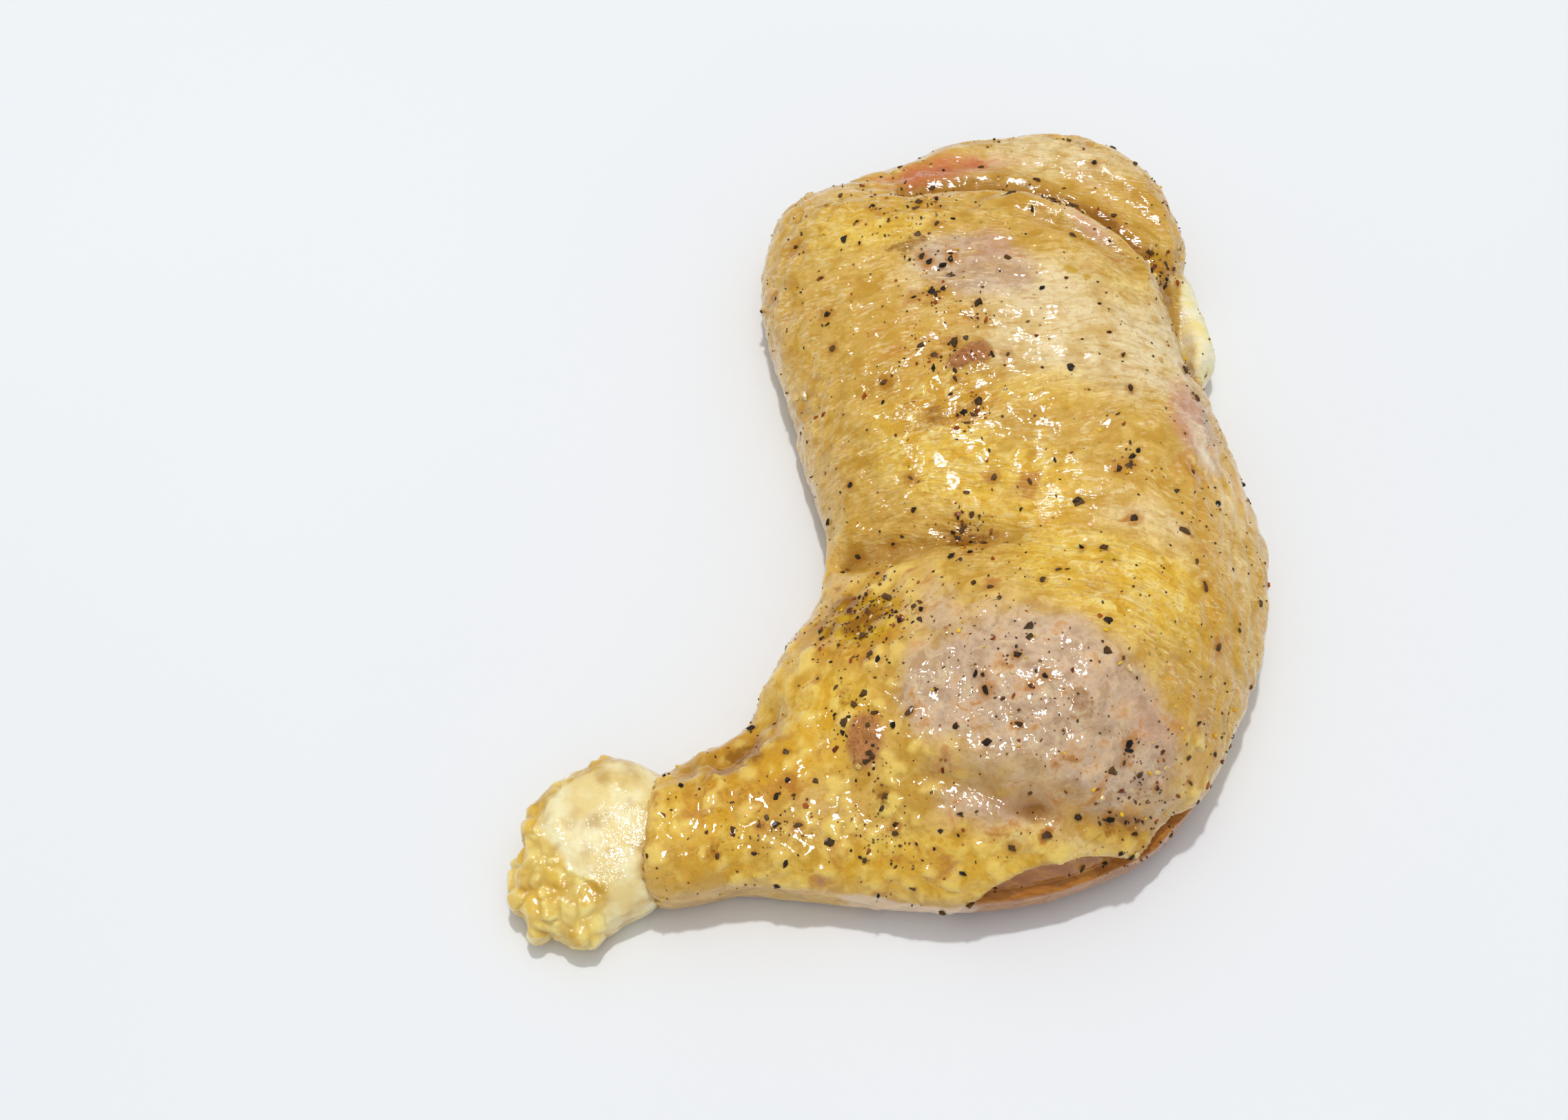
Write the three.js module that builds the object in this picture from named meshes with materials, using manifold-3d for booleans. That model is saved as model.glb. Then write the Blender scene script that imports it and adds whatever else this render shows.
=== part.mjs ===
// A raw, marinated chicken leg quarter lying skin side up: the thigh and the drumstick are one
// skin-covered solid, and the hock knob at the end of the drumstick is a second one.
// Millimetres, +Z up. The part stands on z = 0, and the origin is under the middle of its box.
//
// Each form is a lobe: an outline seen from above, inflated like a cushion between a base and a
// crown. The lobes are blended, creased and ridged as one field, which is zero on the surface and
// negative inside, and the surface is then meshed with one vertex in each grid cell it crosses.

import * as THREE from "three";
import { mergeVertices } from "three/addons/utils/BufferGeometryUtils.js";
import Module from "manifold-3d";

const wasm = await Module();
wasm.setup();
const { Manifold, Mesh: SolidMesh } = wasm;

// Driving dimensions
const GRID = 3.4; // cell of the leg's meshed surface
const HOCK_GRID = 2.1; // cell of the hock knob's
const CELLAR = 1.5; // how far the grid reaches under the table, in cells
const LEG_FLAT = 0.9; // leg surface lower than this is pressed flat on the table
const HOCK_FLAT = 0.25; // and the hock knob's
const GAP = 0.35; // clearance between the hock knob and the skin around it
const ROOM_FLOOR = -1.2; // the room cut for the hock knob reaches this far under the table
const BLEND = 5; // how softly two lobes run into each other
const SKIN = 1.3; // thickness of the skin where its edge shows
const SKIN_BEVEL = 1.5; // height over which that edge is rounded off
const LEAST_BARE = 1; // a band of bare meat lower than this is left out
const FOLDS_FROM = 6; // folds and lumps fade in from this height up
const FOLDS_FADE = 6; // and over this much height
const PEAK = 48; // above the highest point of the skin
const PROBE = 0.25; // step of the search for the skin's height
const SPAN_STEPS = 6; // points on an outline for each of its control points
const WELD = 1e-4; // corners closer than this are one
const CENTRE = { x: 0, y: 0.3 }; // middle of the box in the outlines' own coordinates

// Outlines, seen from above: +X to the right, +Y away from the eye
const THIGH = {
  outline: [
    [-23, 58], [-18, 67], [-9, 70.5], [1, 72], [13, 74.5], [25, 74], [36, 70], [46, 63.5],
    [53, 55], [55.5, 46], [56.5, 37], [57.3, 29], [59.3, 21], [61.8, 10], [63.5, 0],
    [65.2, -9], [64.8, -18], [62, -32], [50, -42], [32, -42], [12, -27], [-9, -13],
    [-12.5, -3], [-16, 10], [-20, 26], [-24, 44],
  ],
  rim: 9.5,
  rimWidth: { least: 25, most: 25, slope: 0, from: 0 },
  underWidth: 9,
  base: -6,
  crown: 24,
  humps: [
    { x: 26, y: 30, rx: 32, ry: 30, height: 8.5 },
    { x: 40, y: -10, rx: 22, ry: 20, height: 3.5 },
  ],
};
const DRUMSTICK = {
  outline: [
    [65, -9], [65.3, -17], [63.6, -28], [61, -39], [57.4, -48], [52, -58], [45.5, -66],
    [37, -71], [27, -74.8], [16, -76.8], [5, -77], [-6, -75.6], [-17, -74.3], [-27, -73.4],
    [-35, -75], [-43, -75], [-46, -67], [-45, -58], [-39, -51.5], [-32, -48.5], [-26.5, -44],
    [-23.5, -37], [-19.5, -29], [-14.5, -21], [-10.5, -13], [2, -3], [20, 6], [40, 10],
    [58, 5],
  ],
  rim: 11,
  rimWidth: { least: 12, most: 27, slope: 0.45, from: -36 },
  underWidth: 9,
  base: -6,
  crown: 19,
  humps: [
    { x: 17, y: -40, rx: 24, ry: 22, height: 9 },
    { x: 33, y: -44, rx: 25, ry: 22, height: 12.5 },
    { x: 52, y: -20, rx: 14, ry: 18, height: 4 },
  ],
};
const BACK_ROLL = {
  outline: [
    [-6, 68.5], [1, 73.5], [8, 78], [15, 81], [23, 82], [32, 82.4], [40, 80.4], [47.5, 75.6],
    [53, 69], [56, 61], [56.6, 53], [53, 49], [48, 54], [41, 59.5], [32, 64], [20, 67.5],
    [8, 68], [0, 66],
  ],
  rim: 10,
  rimWidth: { least: 8, most: 8, slope: 0, from: 0 },
  underWidth: 6,
  base: -4,
  crown: 19,
  humps: [{ x: 44, y: 64, rx: 14, ry: 12, height: 4 }],
};
const FAT_FOLD = {
  outline: [
    [53.5, 50], [57.5, 49.6], [60, 43.5], [61.2, 37.5], [61.6, 33.5], [59.8, 29.5], [57, 25.5],
    [55.6, 29], [55.4, 36], [54.2, 43],
  ],
  rim: 7,
  rimWidth: { least: 3.5, most: 3.5, slope: 0, from: 0 },
  underWidth: 3,
  base: -1,
  crown: 13.5,
  humps: [],
};
const ANKLE_WEB = {
  outline: [
    [-42, -58], [-39.5, -51], [-35, -48.6], [-31, -45.5], [-27.5, -42.5], [-23.5, -38],
    [-17, -30], [-14, -38], [-20, -50], [-30, -58],
  ],
  rim: 4.5,
  rimWidth: { least: 5, most: 5, slope: 0, from: 0 },
  underWidth: 3,
  base: -1,
  crown: 9,
  humps: [],
};
const HOCK_PAD = {
  outline: [
    [-60, -54], [-54, -50.4], [-49, -49.3], [-45.4, -50.2], [-42.4, -51.8], [-38.8, -54.4],
    [-35.8, -58.6], [-34.6, -63], [-36.6, -68], [-40.5, -72.5], [-47, -75.5], [-55, -75],
    [-61.5, -70], [-63.5, -61],
  ],
  rim: 8,
  rimWidth: { least: 7, most: 7, slope: 0, from: 0 },
  underWidth: 6,
  base: -4,
  crown: 14,
  humps: [{ x: -49, y: -62, rx: 8, ry: 8, height: 2 }],
};
const SHANK_SKIN = {
  outline: [
    [-61, -58], [-64.6, -64.5], [-66.4, -67.5], [-67.2, -71], [-66.8, -74.6], [-64.4, -77.4],
    [-62.6, -80.3], [-59.6, -79.6], [-56.4, -81.2], [-53.2, -81.9], [-50.8, -80.4],
    [-47.4, -77.8], [-42, -74], [-42, -66], [-50, -60],
  ],
  rim: 5,
  rimWidth: { least: 8, most: 8, slope: 0, from: 0 },
  underWidth: 4,
  base: -2,
  crown: 11.5,
  humps: [],
};

// Lines seen from above
const ROLL_CREASE = [
  [4, 62], [12, 63], [20, 62.5], [27, 61.5], [33, 59], [38, 56], [43, 52], [47.5, 47.5],
];
const ROLL_RIDGE = [[24, 55], [30, 53], [36, 50], [41, 47], [46, 43.5]];
const RIDGE_CREASE = [[27, 50.5], [33, 48], [39, 44.6], [44, 41]];
const FAT_CREASE = [[51.4, 43], [52.6, 39], [53.8, 35], [54.8, 30], [56, 25]];
const KNEE_CREASE = [[-8, -14], [0, -14.6], [8, -14], [14, -13.8], [20, -15]];
const CALF_CREASE = [[4, -59.6], [9, -61.4], [16, -63.6], [22, -65]];
const CALF_VALLEY = [[22, -65], [30, -65.8], [38, -65.6], [47, -62.8]];
const CALF_RIDGE = [[2, -55], [8, -57], [16, -59.4], [24, -60.6]];
const WEB_CREASE = [[-36, -55], [-30, -54], [-25, -50], [-21, -44]];
const CUFF_RIDGE = [[-34, -52], [-32, -58], [-31.4, -65], [-33, -72]];

// Creases sink into the surface, and ridges, with a negative depth, stand up from it
const FOLDS = [
  { depth: 2.8, width: 2.5, line: ROLL_CREASE },
  { depth: -1.8, width: 2.2, line: ROLL_RIDGE },
  { depth: 1, width: 1.8, line: RIDGE_CREASE },
  { depth: 1.8, width: 2.4, line: FAT_CREASE },
  { depth: 1.8, width: 2.4, line: KNEE_CREASE },
  { depth: 1.5, width: 1.8, line: CALF_CREASE },
  { depth: 1.5, width: 2.6, line: CALF_VALLEY },
  { depth: -0.9, width: 2.4, line: CALF_RIDGE },
  { depth: 1.6, width: 3, line: WEB_CREASE },
  { depth: -1, width: 1.8, line: CUFF_RIDGE },
];

// Grooves between the muscles on the side that lies down
const UNDER_GROOVES = [
  { depth: 1.5, width: 3.2, line: [[-8, 56], [6, 40], [14, 22], [20, 4], [30, -14]] },
  { depth: 1.4, width: 3.2, line: [[44, 58], [36, 38], [30, 18], [30, -4]] },
  { depth: 1.6, width: 3.2, line: [[54, -20], [36, -34], [14, -46], [-12, -58], [-32, -63]] },
  { depth: 1.4, width: 3.2, line: [[50, -40], [30, -54], [6, -64], [-20, -68]] },
];

// Single lumps on the skin: a blister, a bruise, small warts
const LUMPS = [
  { x: 14.4, y: 19.8, rx: 2.2, ry: 1.7, height: 1.5 },
  { x: 11.2, y: 18.2, rx: 1.6, ry: 1.1, height: 0.9 },
  { x: -6.5, y: -53.5, rx: 2.2, ry: 3.4, height: 1.2 },
  { x: 11.1, y: -8.9, rx: 1.6, ry: 1.3, height: 0.9 },
];

// Where the skin ends above the table and the meat shows below it: an arc of the outline each
const BARE_MEAT = [
  { x: 29, y: -76, rx: 27, ry: 14, height: 18 },
  { x: 44, y: -65, rx: 22, ry: 16, height: 13 },
  { x: 4, y: -80, rx: 26, ry: 9, height: 7 },
  { x: 14, y: 86, rx: 38, ry: 17, height: 8 },
];

// Coarse pepper, the largest flakes only: some lie in clusters and the rest anywhere
const FLAKE = {
  count: 60, least: 1.2, most: 2.1, sunk: 0.35, spacing: 3.6, margin: 4, clustered: 0.6, seed: 11,
  breadth: [0.62, 0.92], thickness: [0.5, 0.7],
};
const FLAKE_AREA = { x: [-30, 62], y: [-72, 78] };
const PEPPER_CLUSTERS = [
  { x: 7, y: 33, spread: 3 }, { x: 15.6, y: 30, spread: 2.5 }, { x: 31, y: 56, spread: 3 },
  { x: 5, y: 54, spread: 8 }, { x: 8, y: 40, spread: 4 }, { x: 7, y: 20, spread: 4 },
  { x: 12.6, y: 8, spread: 3 }, { x: 40, y: -2, spread: 3 }, { x: 12, y: -12.4, spread: 3 },
  { x: -5, y: -29, spread: 6 }, { x: -5, y: -31, spread: 8 }, { x: -9, y: -50, spread: 4 },
  { x: -6, y: -57.5, spread: 3 }, { x: -3, y: -69, spread: 4 }, { x: -24, y: -66, spread: 5 },
  { x: 38, y: -62, spread: 6 }, { x: 50, y: 47, spread: 3 }, { x: 17, y: -46, spread: 10 },
];

const COLOURS = { skin: 0xd9b070, hock: 0xe3c877 };

const clamp = (value, low, high) => Math.min(high, Math.max(low, value));
const smoothstep = (value) => {
  const t = clamp(value, 0, 1);
  return t * t * (3 - 2 * t);
};
const between = ([least, most], share) => least + (most - least) * share;
const bell = (distance, width) => Math.exp(-((distance / width) ** 2));

// A closed smooth outline through its control points, as a dense polygon
function smoothOutline(points) {
  const curve = new THREE.CatmullRomCurve3(
    points.map(([x, y]) => new THREE.Vector3(x, y, 0)), true, "catmullrom", 0.5);
  return curve.getPoints(points.length * SPAN_STEPS).slice(0, -1).map((p) => [p.x, p.y]);
}

function distanceToSegment(x, y, [ax, ay], [bx, by]) {
  const [dx, dy] = [bx - ax, by - ay];
  const t = clamp(((x - ax) * dx + (y - ay) * dy) / (dx * dx + dy * dy), 0, 1);
  return Math.hypot(x - ax - t * dx, y - ay - t * dy);
}

function distanceToLine(x, y, line) {
  let least = Infinity;
  for (let i = 1; i < line.length; i++)
    least = Math.min(least, distanceToSegment(x, y, line[i - 1], line[i]));
  return least;
}

// How far inside an outline a point lies, negative outside
function depthInside(x, y, polygon) {
  let inside = false;
  let least = Infinity;
  for (let i = 0, j = polygon.length - 1; i < polygon.length; j = i++) {
    const [a, b] = [polygon[i], polygon[j]];
    least = Math.min(least, distanceToSegment(x, y, a, b));
    if (a[1] > y !== b[1] > y && x < ((b[0] - a[0]) * (y - a[1])) / (b[1] - a[1]) + a[0])
      inside = !inside;
  }
  return inside ? least : -least;
}

function humpSum(x, y, humps) {
  return humps.reduce(
    (sum, h) => sum + h.height * Math.exp(-(((x - h.x) / h.rx) ** 2 + ((y - h.y) / h.ry) ** 2) / 2), 0);
}

// A lobe as a function of height over one point of the plan
function lobeColumn(lobe, x, y) {
  const depth = depthInside(x, y, lobe.polygon);
  const { least, most, slope, from } = lobe.rimWidth;
  const width = clamp(least + slope * (x - from), least, most);
  const crown = lobe.crown + humpSum(x, y, lobe.humps);
  const above = Math.max(0, 1 - depth / width);
  const below = Math.max(0, 1 - depth / lobe.underWidth);
  return (z) => {
    const upper = z > lobe.rim;
    const half = upper ? crown - lobe.rim : lobe.rim - lobe.base;
    return (Math.hypot(upper ? above : below, (z - lobe.rim) / half) - 1) * half;
  };
}

function softUnion(a, b) {
  const mix = Math.max(BLEND - Math.abs(a - b), 0) / BLEND;
  return Math.min(a, b) - (mix * mix * BLEND) / 4;
}

function foldRelief(x, y, folds) {
  return folds.reduce((sum, f) => sum + f.depth * bell(distanceToLine(x, y, f.line), f.width), 0);
}

// The height under which the skin is cut away, and zero where it wraps right round
function skinEdge(x, y) {
  return BARE_MEAT.reduce((most, b) => {
    const reach = ((x - b.x) / b.rx) ** 2 + ((y - b.y) / b.ry) ** 2;
    return Math.max(most, b.height * smoothstep(1 - reach));
  }, 0);
}

function legColumn(x, y) {
  const lobes = LEG_LOBES.map((lobe) => lobeColumn(lobe, x, y));
  const top = foldRelief(x, y, FOLDS) - humpSum(x, y, LUMPS);
  const floorHeight = foldRelief(x, y, UNDER_GROOVES);
  const edge = skinEdge(x, y);
  return (z) => {
    const body = lobes.map((lobe) => lobe(z)).reduce(softUnion);
    const upper = smoothstep((z - FOLDS_FROM) / FOLDS_FADE);
    const bare = edge > LEAST_BARE ? SKIN * smoothstep((edge - z) / SKIN_BEVEL + 0.5) : 0;
    return Math.max(body + top * upper + bare, floorHeight - z);
  };
}

function hockColumn(x, y, floorHeight = 0, grown = 0) {
  const lobes = HOCK_LOBES.map((lobe) => lobeColumn(lobe, x, y));
  return (z) => Math.max(lobes.map((lobe) => lobe(z)).reduce(softUnion) - grown, floorHeight - z);
}

// Meshes the zero surface of a column field: one vertex in each cell that it crosses, at the mean
// of the crossings on the cell's edges, and one quad round each crossed grid edge.
function meshOf(columnAt, low, high, cell, flat) {
  const size = low.map((v, i) => Math.ceil((high[i] - v) / cell) + 1);
  const at = (i, j, k) => (k * size[1] + j) * size[0] + i;
  const values = new Float64Array(size[0] * size[1] * size[2]);
  for (let j = 0; j < size[1]; j++)
    for (let i = 0; i < size[0]; i++) {
      const column = columnAt(low[0] + i * cell, low[1] + j * cell);
      for (let k = 0; k < size[2]; k++) values[at(i, j, k)] = column(low[2] + k * cell);
    }
  const corners = [0, 1, 2, 3, 4, 5, 6, 7].map((c) => [c & 1, (c >> 1) & 1, (c >> 2) & 1]);
  const edges = corners.flatMap((a, i) => [0, 1, 2].filter((d) => !a[d]).map((d) => [i, i | (1 << d)]));
  const positions = [];
  const vertexOf = new Map();
  for (let k = 0; k < size[2] - 1; k++)
    for (let j = 0; j < size[1] - 1; j++)
      for (let i = 0; i < size[0] - 1; i++) {
        const here = corners.map(([a, b, c]) => values[at(i + a, j + b, k + c)]);
        const crossed = edges.filter(([a, b]) => here[a] < 0 !== here[b] < 0);
        if (!crossed.length) continue;
        const mean = [0, 0, 0];
        for (const [a, b] of crossed) {
          const t = here[a] / (here[a] - here[b]);
          for (let d = 0; d < 3; d++)
            mean[d] += (corners[a][d] + t * (corners[b][d] - corners[a][d])) / crossed.length;
        }
        vertexOf.set(at(i, j, k), positions.length / 3);
        positions.push(...mean.map((m, d) => low[d] + ([i, j, k][d] + m) * cell));
      }
  const faces = [];
  const step = [at(1, 0, 0), at(0, 1, 0), at(0, 0, 1)];
  for (let k = 1; k < size[2] - 1; k++)
    for (let j = 1; j < size[1] - 1; j++)
      for (let i = 1; i < size[0] - 1; i++)
        for (let d = 0; d < 3; d++) {
          const [from, to] = [values[at(i, j, k)], values[at(i, j, k) + step[d]]];
          if (from < 0 === to < 0) continue;
          const [u, v] = [step[(d + 1) % 3], step[(d + 2) % 3]];
          const ring = [0, u, u + v, v].map((back) => vertexOf.get(at(i, j, k) - back));
          if (to < 0) ring.reverse();
          faces.push(ring[0], ring[1], ring[2], ring[0], ring[2], ring[3]);
        }
  for (let n = 2; n < positions.length; n += 3)
    if (positions[n] > 0 && positions[n] < flat) positions[n] = 0;
  return { positions, faces };
}

function solidFrom(positions, faces) {
  const merged = mergeVertices(
    new THREE.BufferGeometry()
      .setAttribute("position", new THREE.Float32BufferAttribute(positions, 3))
      .setIndex(faces), WELD);
  return new Manifold(new SolidMesh({
    numProp: 3,
    vertProperties: merged.getAttribute("position").array,
    triVerts: new Uint32Array(merged.index.array),
  }));
}

function solidOf(columnAt, low, high, cell, flat) {
  const { positions, faces } = meshOf(columnAt, low, high, cell, flat);
  return solidFrom(positions, faces);
}

// Drops the scraps that a cut leaves
function largestPiece(solid) {
  return solid.decompose().reduce((a, b) => (a.volume() > b.volume() ? a : b));
}

// A repeatable random number from 0 to 1
function randomFrom(seed) {
  let state = seed;
  return () => {
    state = (state * 1664525 + 1013904223) % 4294967296;
    return state / 4294967296;
  };
}

// The height of the skin over a point of the plan, found from above
function skinHeight(x, y) {
  const column = legColumn(x, y);
  for (let z = PEAK; z > 0; z -= PROBE) if (column(z) < 0) return z;
  return 0;
}

// One angular flake of pepper, turned and squashed at random
function flakeSolid(x, y, z, random) {
  const size = between([FLAKE.least, FLAKE.most], random() ** 2);
  const geometry = new THREE.IcosahedronGeometry(size / 2, 0);
  geometry.scale(1, between(FLAKE.breadth, random()), between(FLAKE.thickness, random()));
  geometry.rotateZ(Math.PI * random());
  geometry.translate(x, y, z + size * (0.5 - FLAKE.sunk) * 0.5);
  geometry.deleteAttribute("normal");
  geometry.deleteAttribute("uv");
  const merged = mergeVertices(geometry, WELD);
  return solidFrom(merged.getAttribute("position").array, [...merged.index.array]);
}

// A place in the plan for a flake, in a cluster or anywhere
function flakeSpot(random) {
  if (random() > FLAKE.clustered)
    return [between(FLAKE_AREA.x, random()), between(FLAKE_AREA.y, random())];
  const { x, y, spread } = PEPPER_CLUSTERS[Math.floor(PEPPER_CLUSTERS.length * random())];
  const stray = () => spread * (random() + random() + random() - 1.5);
  return [x + stray(), y + stray()];
}

// Flakes lie where the skin's top is well clear of the rim, of the hock knob and of each other
function flakes() {
  const random = randomFrom(FLAKE.seed);
  const placed = [];
  while (placed.length < FLAKE.count) {
    const [x, y] = flakeSpot(random);
    const clear = LEG_LOBES.some((lobe) => depthInside(x, y, lobe.polygon) > FLAKE.margin) &&
      HOCK_LOBES.every((lobe) => depthInside(x, y, lobe.polygon) < -FLAKE.margin) &&
      placed.every((p) => Math.hypot(p.x - x, p.y - y) > FLAKE.spacing);
    if (clear) placed.push({ x, y });
  }
  return placed.map(({ x, y }) => flakeSolid(x, y, skinHeight(x, y), random));
}

function meshFor(name, solid, colour, roughness) {
  const { vertProperties, triVerts } = solid.getMesh();
  const geometry = new THREE.BufferGeometry();
  geometry.setAttribute("position", new THREE.Float32BufferAttribute(vertProperties, 3));
  geometry.setIndex([...triVerts]);
  geometry.computeVertexNormals();
  const mesh = new THREE.Mesh(
    geometry, new THREE.MeshStandardMaterial({ color: colour, roughness, metalness: 0 }));
  mesh.name = name;
  return mesh;
}

const withPolygon = (lobe) => ({ ...lobe, polygon: smoothOutline(lobe.outline) });
const LEG_LOBES = [THIGH, DRUMSTICK, BACK_ROLL, FAT_FOLD, ANKLE_WEB].map(withPolygon);
const HOCK_LOBES = [HOCK_PAD, SHANK_SKIN].map(withPolygon);

const floor = -CELLAR * GRID;
const legBox = [[-52, -84, floor], [74, 92, 52]];
const hockBox = [[-74, -90, floor], [-28, -42, 30]];
const hock = solidOf((x, y) => hockColumn(x, y), ...hockBox, HOCK_GRID, HOCK_FLAT);
const hockRoom = solidOf((x, y) => hockColumn(x, y, ROOM_FLOOR, GAP), ...hockBox, HOCK_GRID, 0);
const bareLeg = solidOf(legColumn, ...legBox, GRID, LEG_FLAT);
const leg = largestPiece(Manifold.union([bareLeg, ...flakes()]).subtract(hockRoom));

const chickenLegQuarter = new THREE.Group();
chickenLegQuarter.name = "chicken_leg_quarter";
chickenLegQuarter.add(meshFor("leg", leg, COLOURS.skin, 0.35));
chickenLegQuarter.add(meshFor("hock", hock, COLOURS.hock, 0.3));
chickenLegQuarter.children.forEach((mesh) => mesh.position.set(-CENTRE.x, -CENTRE.y, 0));

export default chickenLegQuarter;
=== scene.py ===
"""The looks of a raw, marinated chicken leg quarter that lies skin side up.

The surface is the zero of a field made of inflated outlines, the same one as the solid's. It is
meshed finely here, given its wrinkles, goose bumps and pores, and painted by masks that are kept
as attributes of the mesh, which the materials then mix and roughen with noise.
"""

import itertools
import math

import bpy
import numpy as np
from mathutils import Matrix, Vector


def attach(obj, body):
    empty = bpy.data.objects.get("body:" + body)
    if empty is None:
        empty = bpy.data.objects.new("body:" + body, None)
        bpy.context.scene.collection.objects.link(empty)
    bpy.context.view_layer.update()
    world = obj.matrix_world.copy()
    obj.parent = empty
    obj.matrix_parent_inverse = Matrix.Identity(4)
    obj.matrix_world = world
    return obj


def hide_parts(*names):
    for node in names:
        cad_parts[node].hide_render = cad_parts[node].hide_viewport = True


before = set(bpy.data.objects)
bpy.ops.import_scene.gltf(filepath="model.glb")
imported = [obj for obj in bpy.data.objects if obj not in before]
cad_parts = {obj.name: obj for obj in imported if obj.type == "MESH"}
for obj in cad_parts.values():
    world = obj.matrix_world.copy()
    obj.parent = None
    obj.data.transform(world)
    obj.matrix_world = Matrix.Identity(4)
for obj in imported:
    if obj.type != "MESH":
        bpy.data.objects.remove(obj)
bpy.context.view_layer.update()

MM = 0.001  # metres

# Driving values, lengths in millimetres, and the same as the solid's where both have them
CENTRE = np.array([0.0, 0.3, 0.0])  # middle of the box in the outlines' own coordinates
STEP = 0.74  # cell of the leg's mesh
HOCK_STEP = 0.45  # cell of the hock knob's
CELLAR = 1.5  # how far both grids reach under the table, in cells
GAP = 0.35  # clearance between the hock knob and the skin around it
BLEND = 5.0  # how softly two lobes run into each other
SKIN = 1.3  # thickness of the skin where its edge shows
SKIN_BEVEL = 1.5  # height over which that edge is rounded off
LEAST_BARE = 1.0  # a band of bare meat lower than this is left out
FOLDS_FROM = 6.0  # folds and lumps fade in from this height up
FOLDS_FADE = 6.0  # and over this much height
SPAN_STEPS = 6  # points on an outline for each of its control points
LEG_LOW, LEG_HIGH = (-52, -86), (76, 92, 52)  # limits of the leg's grid, without its cellar
HOCK_LOW, HOCK_HIGH = (-74, -90), (-28, -42, 30)
SMOOTHING = 2  # rounds of shrinking and swelling that even out a mesh
SHRINK, SWELL = 0.5, -0.52

# The field of inflated outlines

# Each lobe is an outline seen from above and the heights of its rim, base and crown. The width
# over which the crown falls to the rim is the least, the most, how fast it grows with x, and
# from which x. A hump is its middle, two radii and a height.
THIGH = {
    "outline": [
        (-23, 58), (-18, 67), (-9, 70.5), (1, 72), (13, 74.5), (25, 74), (36, 70), (46, 63.5),
        (53, 55), (55.5, 46), (56.5, 37), (57.3, 29), (59.3, 21), (61.8, 10), (63.5, 0),
        (65.2, -9), (64.8, -18), (62, -32), (50, -42), (32, -42), (12, -27), (-9, -13),
        (-12.5, -3), (-16, 10), (-20, 26), (-24, 44),
    ],
    "rim": 9.5, "rim_width": (25, 25, 0, 0), "under_width": 9, "base": -6, "crown": 24,
    "humps": [(26, 30, 32, 30, 8.5), (40, -10, 22, 20, 3.5)],
}
DRUMSTICK = {
    "outline": [
        (65, -9), (65.3, -17), (63.6, -28), (61, -39), (57.4, -48), (52, -58), (45.5, -66),
        (37, -71), (27, -74.8), (16, -76.8), (5, -77), (-6, -75.6), (-17, -74.3), (-27, -73.4),
        (-35, -75), (-43, -75), (-46, -67), (-45, -58), (-39, -51.5), (-32, -48.5), (-26.5, -44),
        (-23.5, -37), (-19.5, -29), (-14.5, -21), (-10.5, -13), (2, -3), (20, 6), (40, 10),
        (58, 5),
    ],
    "rim": 11, "rim_width": (12, 27, 0.45, -36), "under_width": 9, "base": -6, "crown": 19,
    "humps": [(17, -40, 24, 22, 9), (33, -44, 25, 22, 12.5), (52, -20, 14, 18, 4)],
}
BACK_ROLL = {
    "outline": [
        (-6, 68.5), (1, 73.5), (8, 78), (15, 81), (23, 82), (32, 82.4), (40, 80.4),
        (47.5, 75.6), (53, 69), (56, 61), (56.6, 53), (53, 49), (48, 54), (41, 59.5), (32, 64),
        (20, 67.5), (8, 68), (0, 66),
    ],
    "rim": 10, "rim_width": (8, 8, 0, 0), "under_width": 6, "base": -4, "crown": 19,
    "humps": [(44, 64, 14, 12, 4)],
}
FAT_FOLD = {
    "outline": [
        (53.5, 50), (57.5, 49.6), (60, 43.5), (61.2, 37.5), (61.6, 33.5), (59.8, 29.5),
        (57, 25.5), (55.6, 29), (55.4, 36), (54.2, 43),
    ],
    "rim": 7, "rim_width": (3.5, 3.5, 0, 0), "under_width": 3, "base": -1, "crown": 13.5,
    "humps": [],
}
ANKLE_WEB = {
    "outline": [
        (-42, -58), (-39.5, -51), (-35, -48.6), (-31, -45.5), (-27.5, -42.5), (-23.5, -38),
        (-17, -30), (-14, -38), (-20, -50), (-30, -58),
    ],
    "rim": 4.5, "rim_width": (5, 5, 0, 0), "under_width": 3, "base": -1, "crown": 9, "humps": [],
}
HOCK_PAD = {
    "outline": [
        (-60, -54), (-54, -50.4), (-49, -49.3), (-45.4, -50.2), (-42.4, -51.8), (-38.8, -54.4),
        (-35.8, -58.6), (-34.6, -63), (-36.6, -68), (-40.5, -72.5), (-47, -75.5), (-55, -75),
        (-61.5, -70), (-63.5, -61),
    ],
    "rim": 8, "rim_width": (7, 7, 0, 0), "under_width": 6, "base": -4, "crown": 14,
    "humps": [(-49, -62, 8, 8, 2)],
}
SHANK_SKIN = {
    "outline": [
        (-61, -58), (-64.6, -64.5), (-66.4, -67.5), (-67.2, -71), (-66.8, -74.6), (-64.4, -77.4),
        (-62.6, -80.3), (-59.6, -79.6), (-56.4, -81.2), (-53.2, -81.9), (-50.8, -80.4),
        (-47.4, -77.8), (-42, -74), (-42, -66), (-50, -60),
    ],
    "rim": 5, "rim_width": (8, 8, 0, 0), "under_width": 4, "base": -2, "crown": 11.5,
    "humps": [],
}
LEG_LOBES = [THIGH, DRUMSTICK, BACK_ROLL, FAT_FOLD, ANKLE_WEB]
HOCK_LOBES = [HOCK_PAD, SHANK_SKIN]

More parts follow.
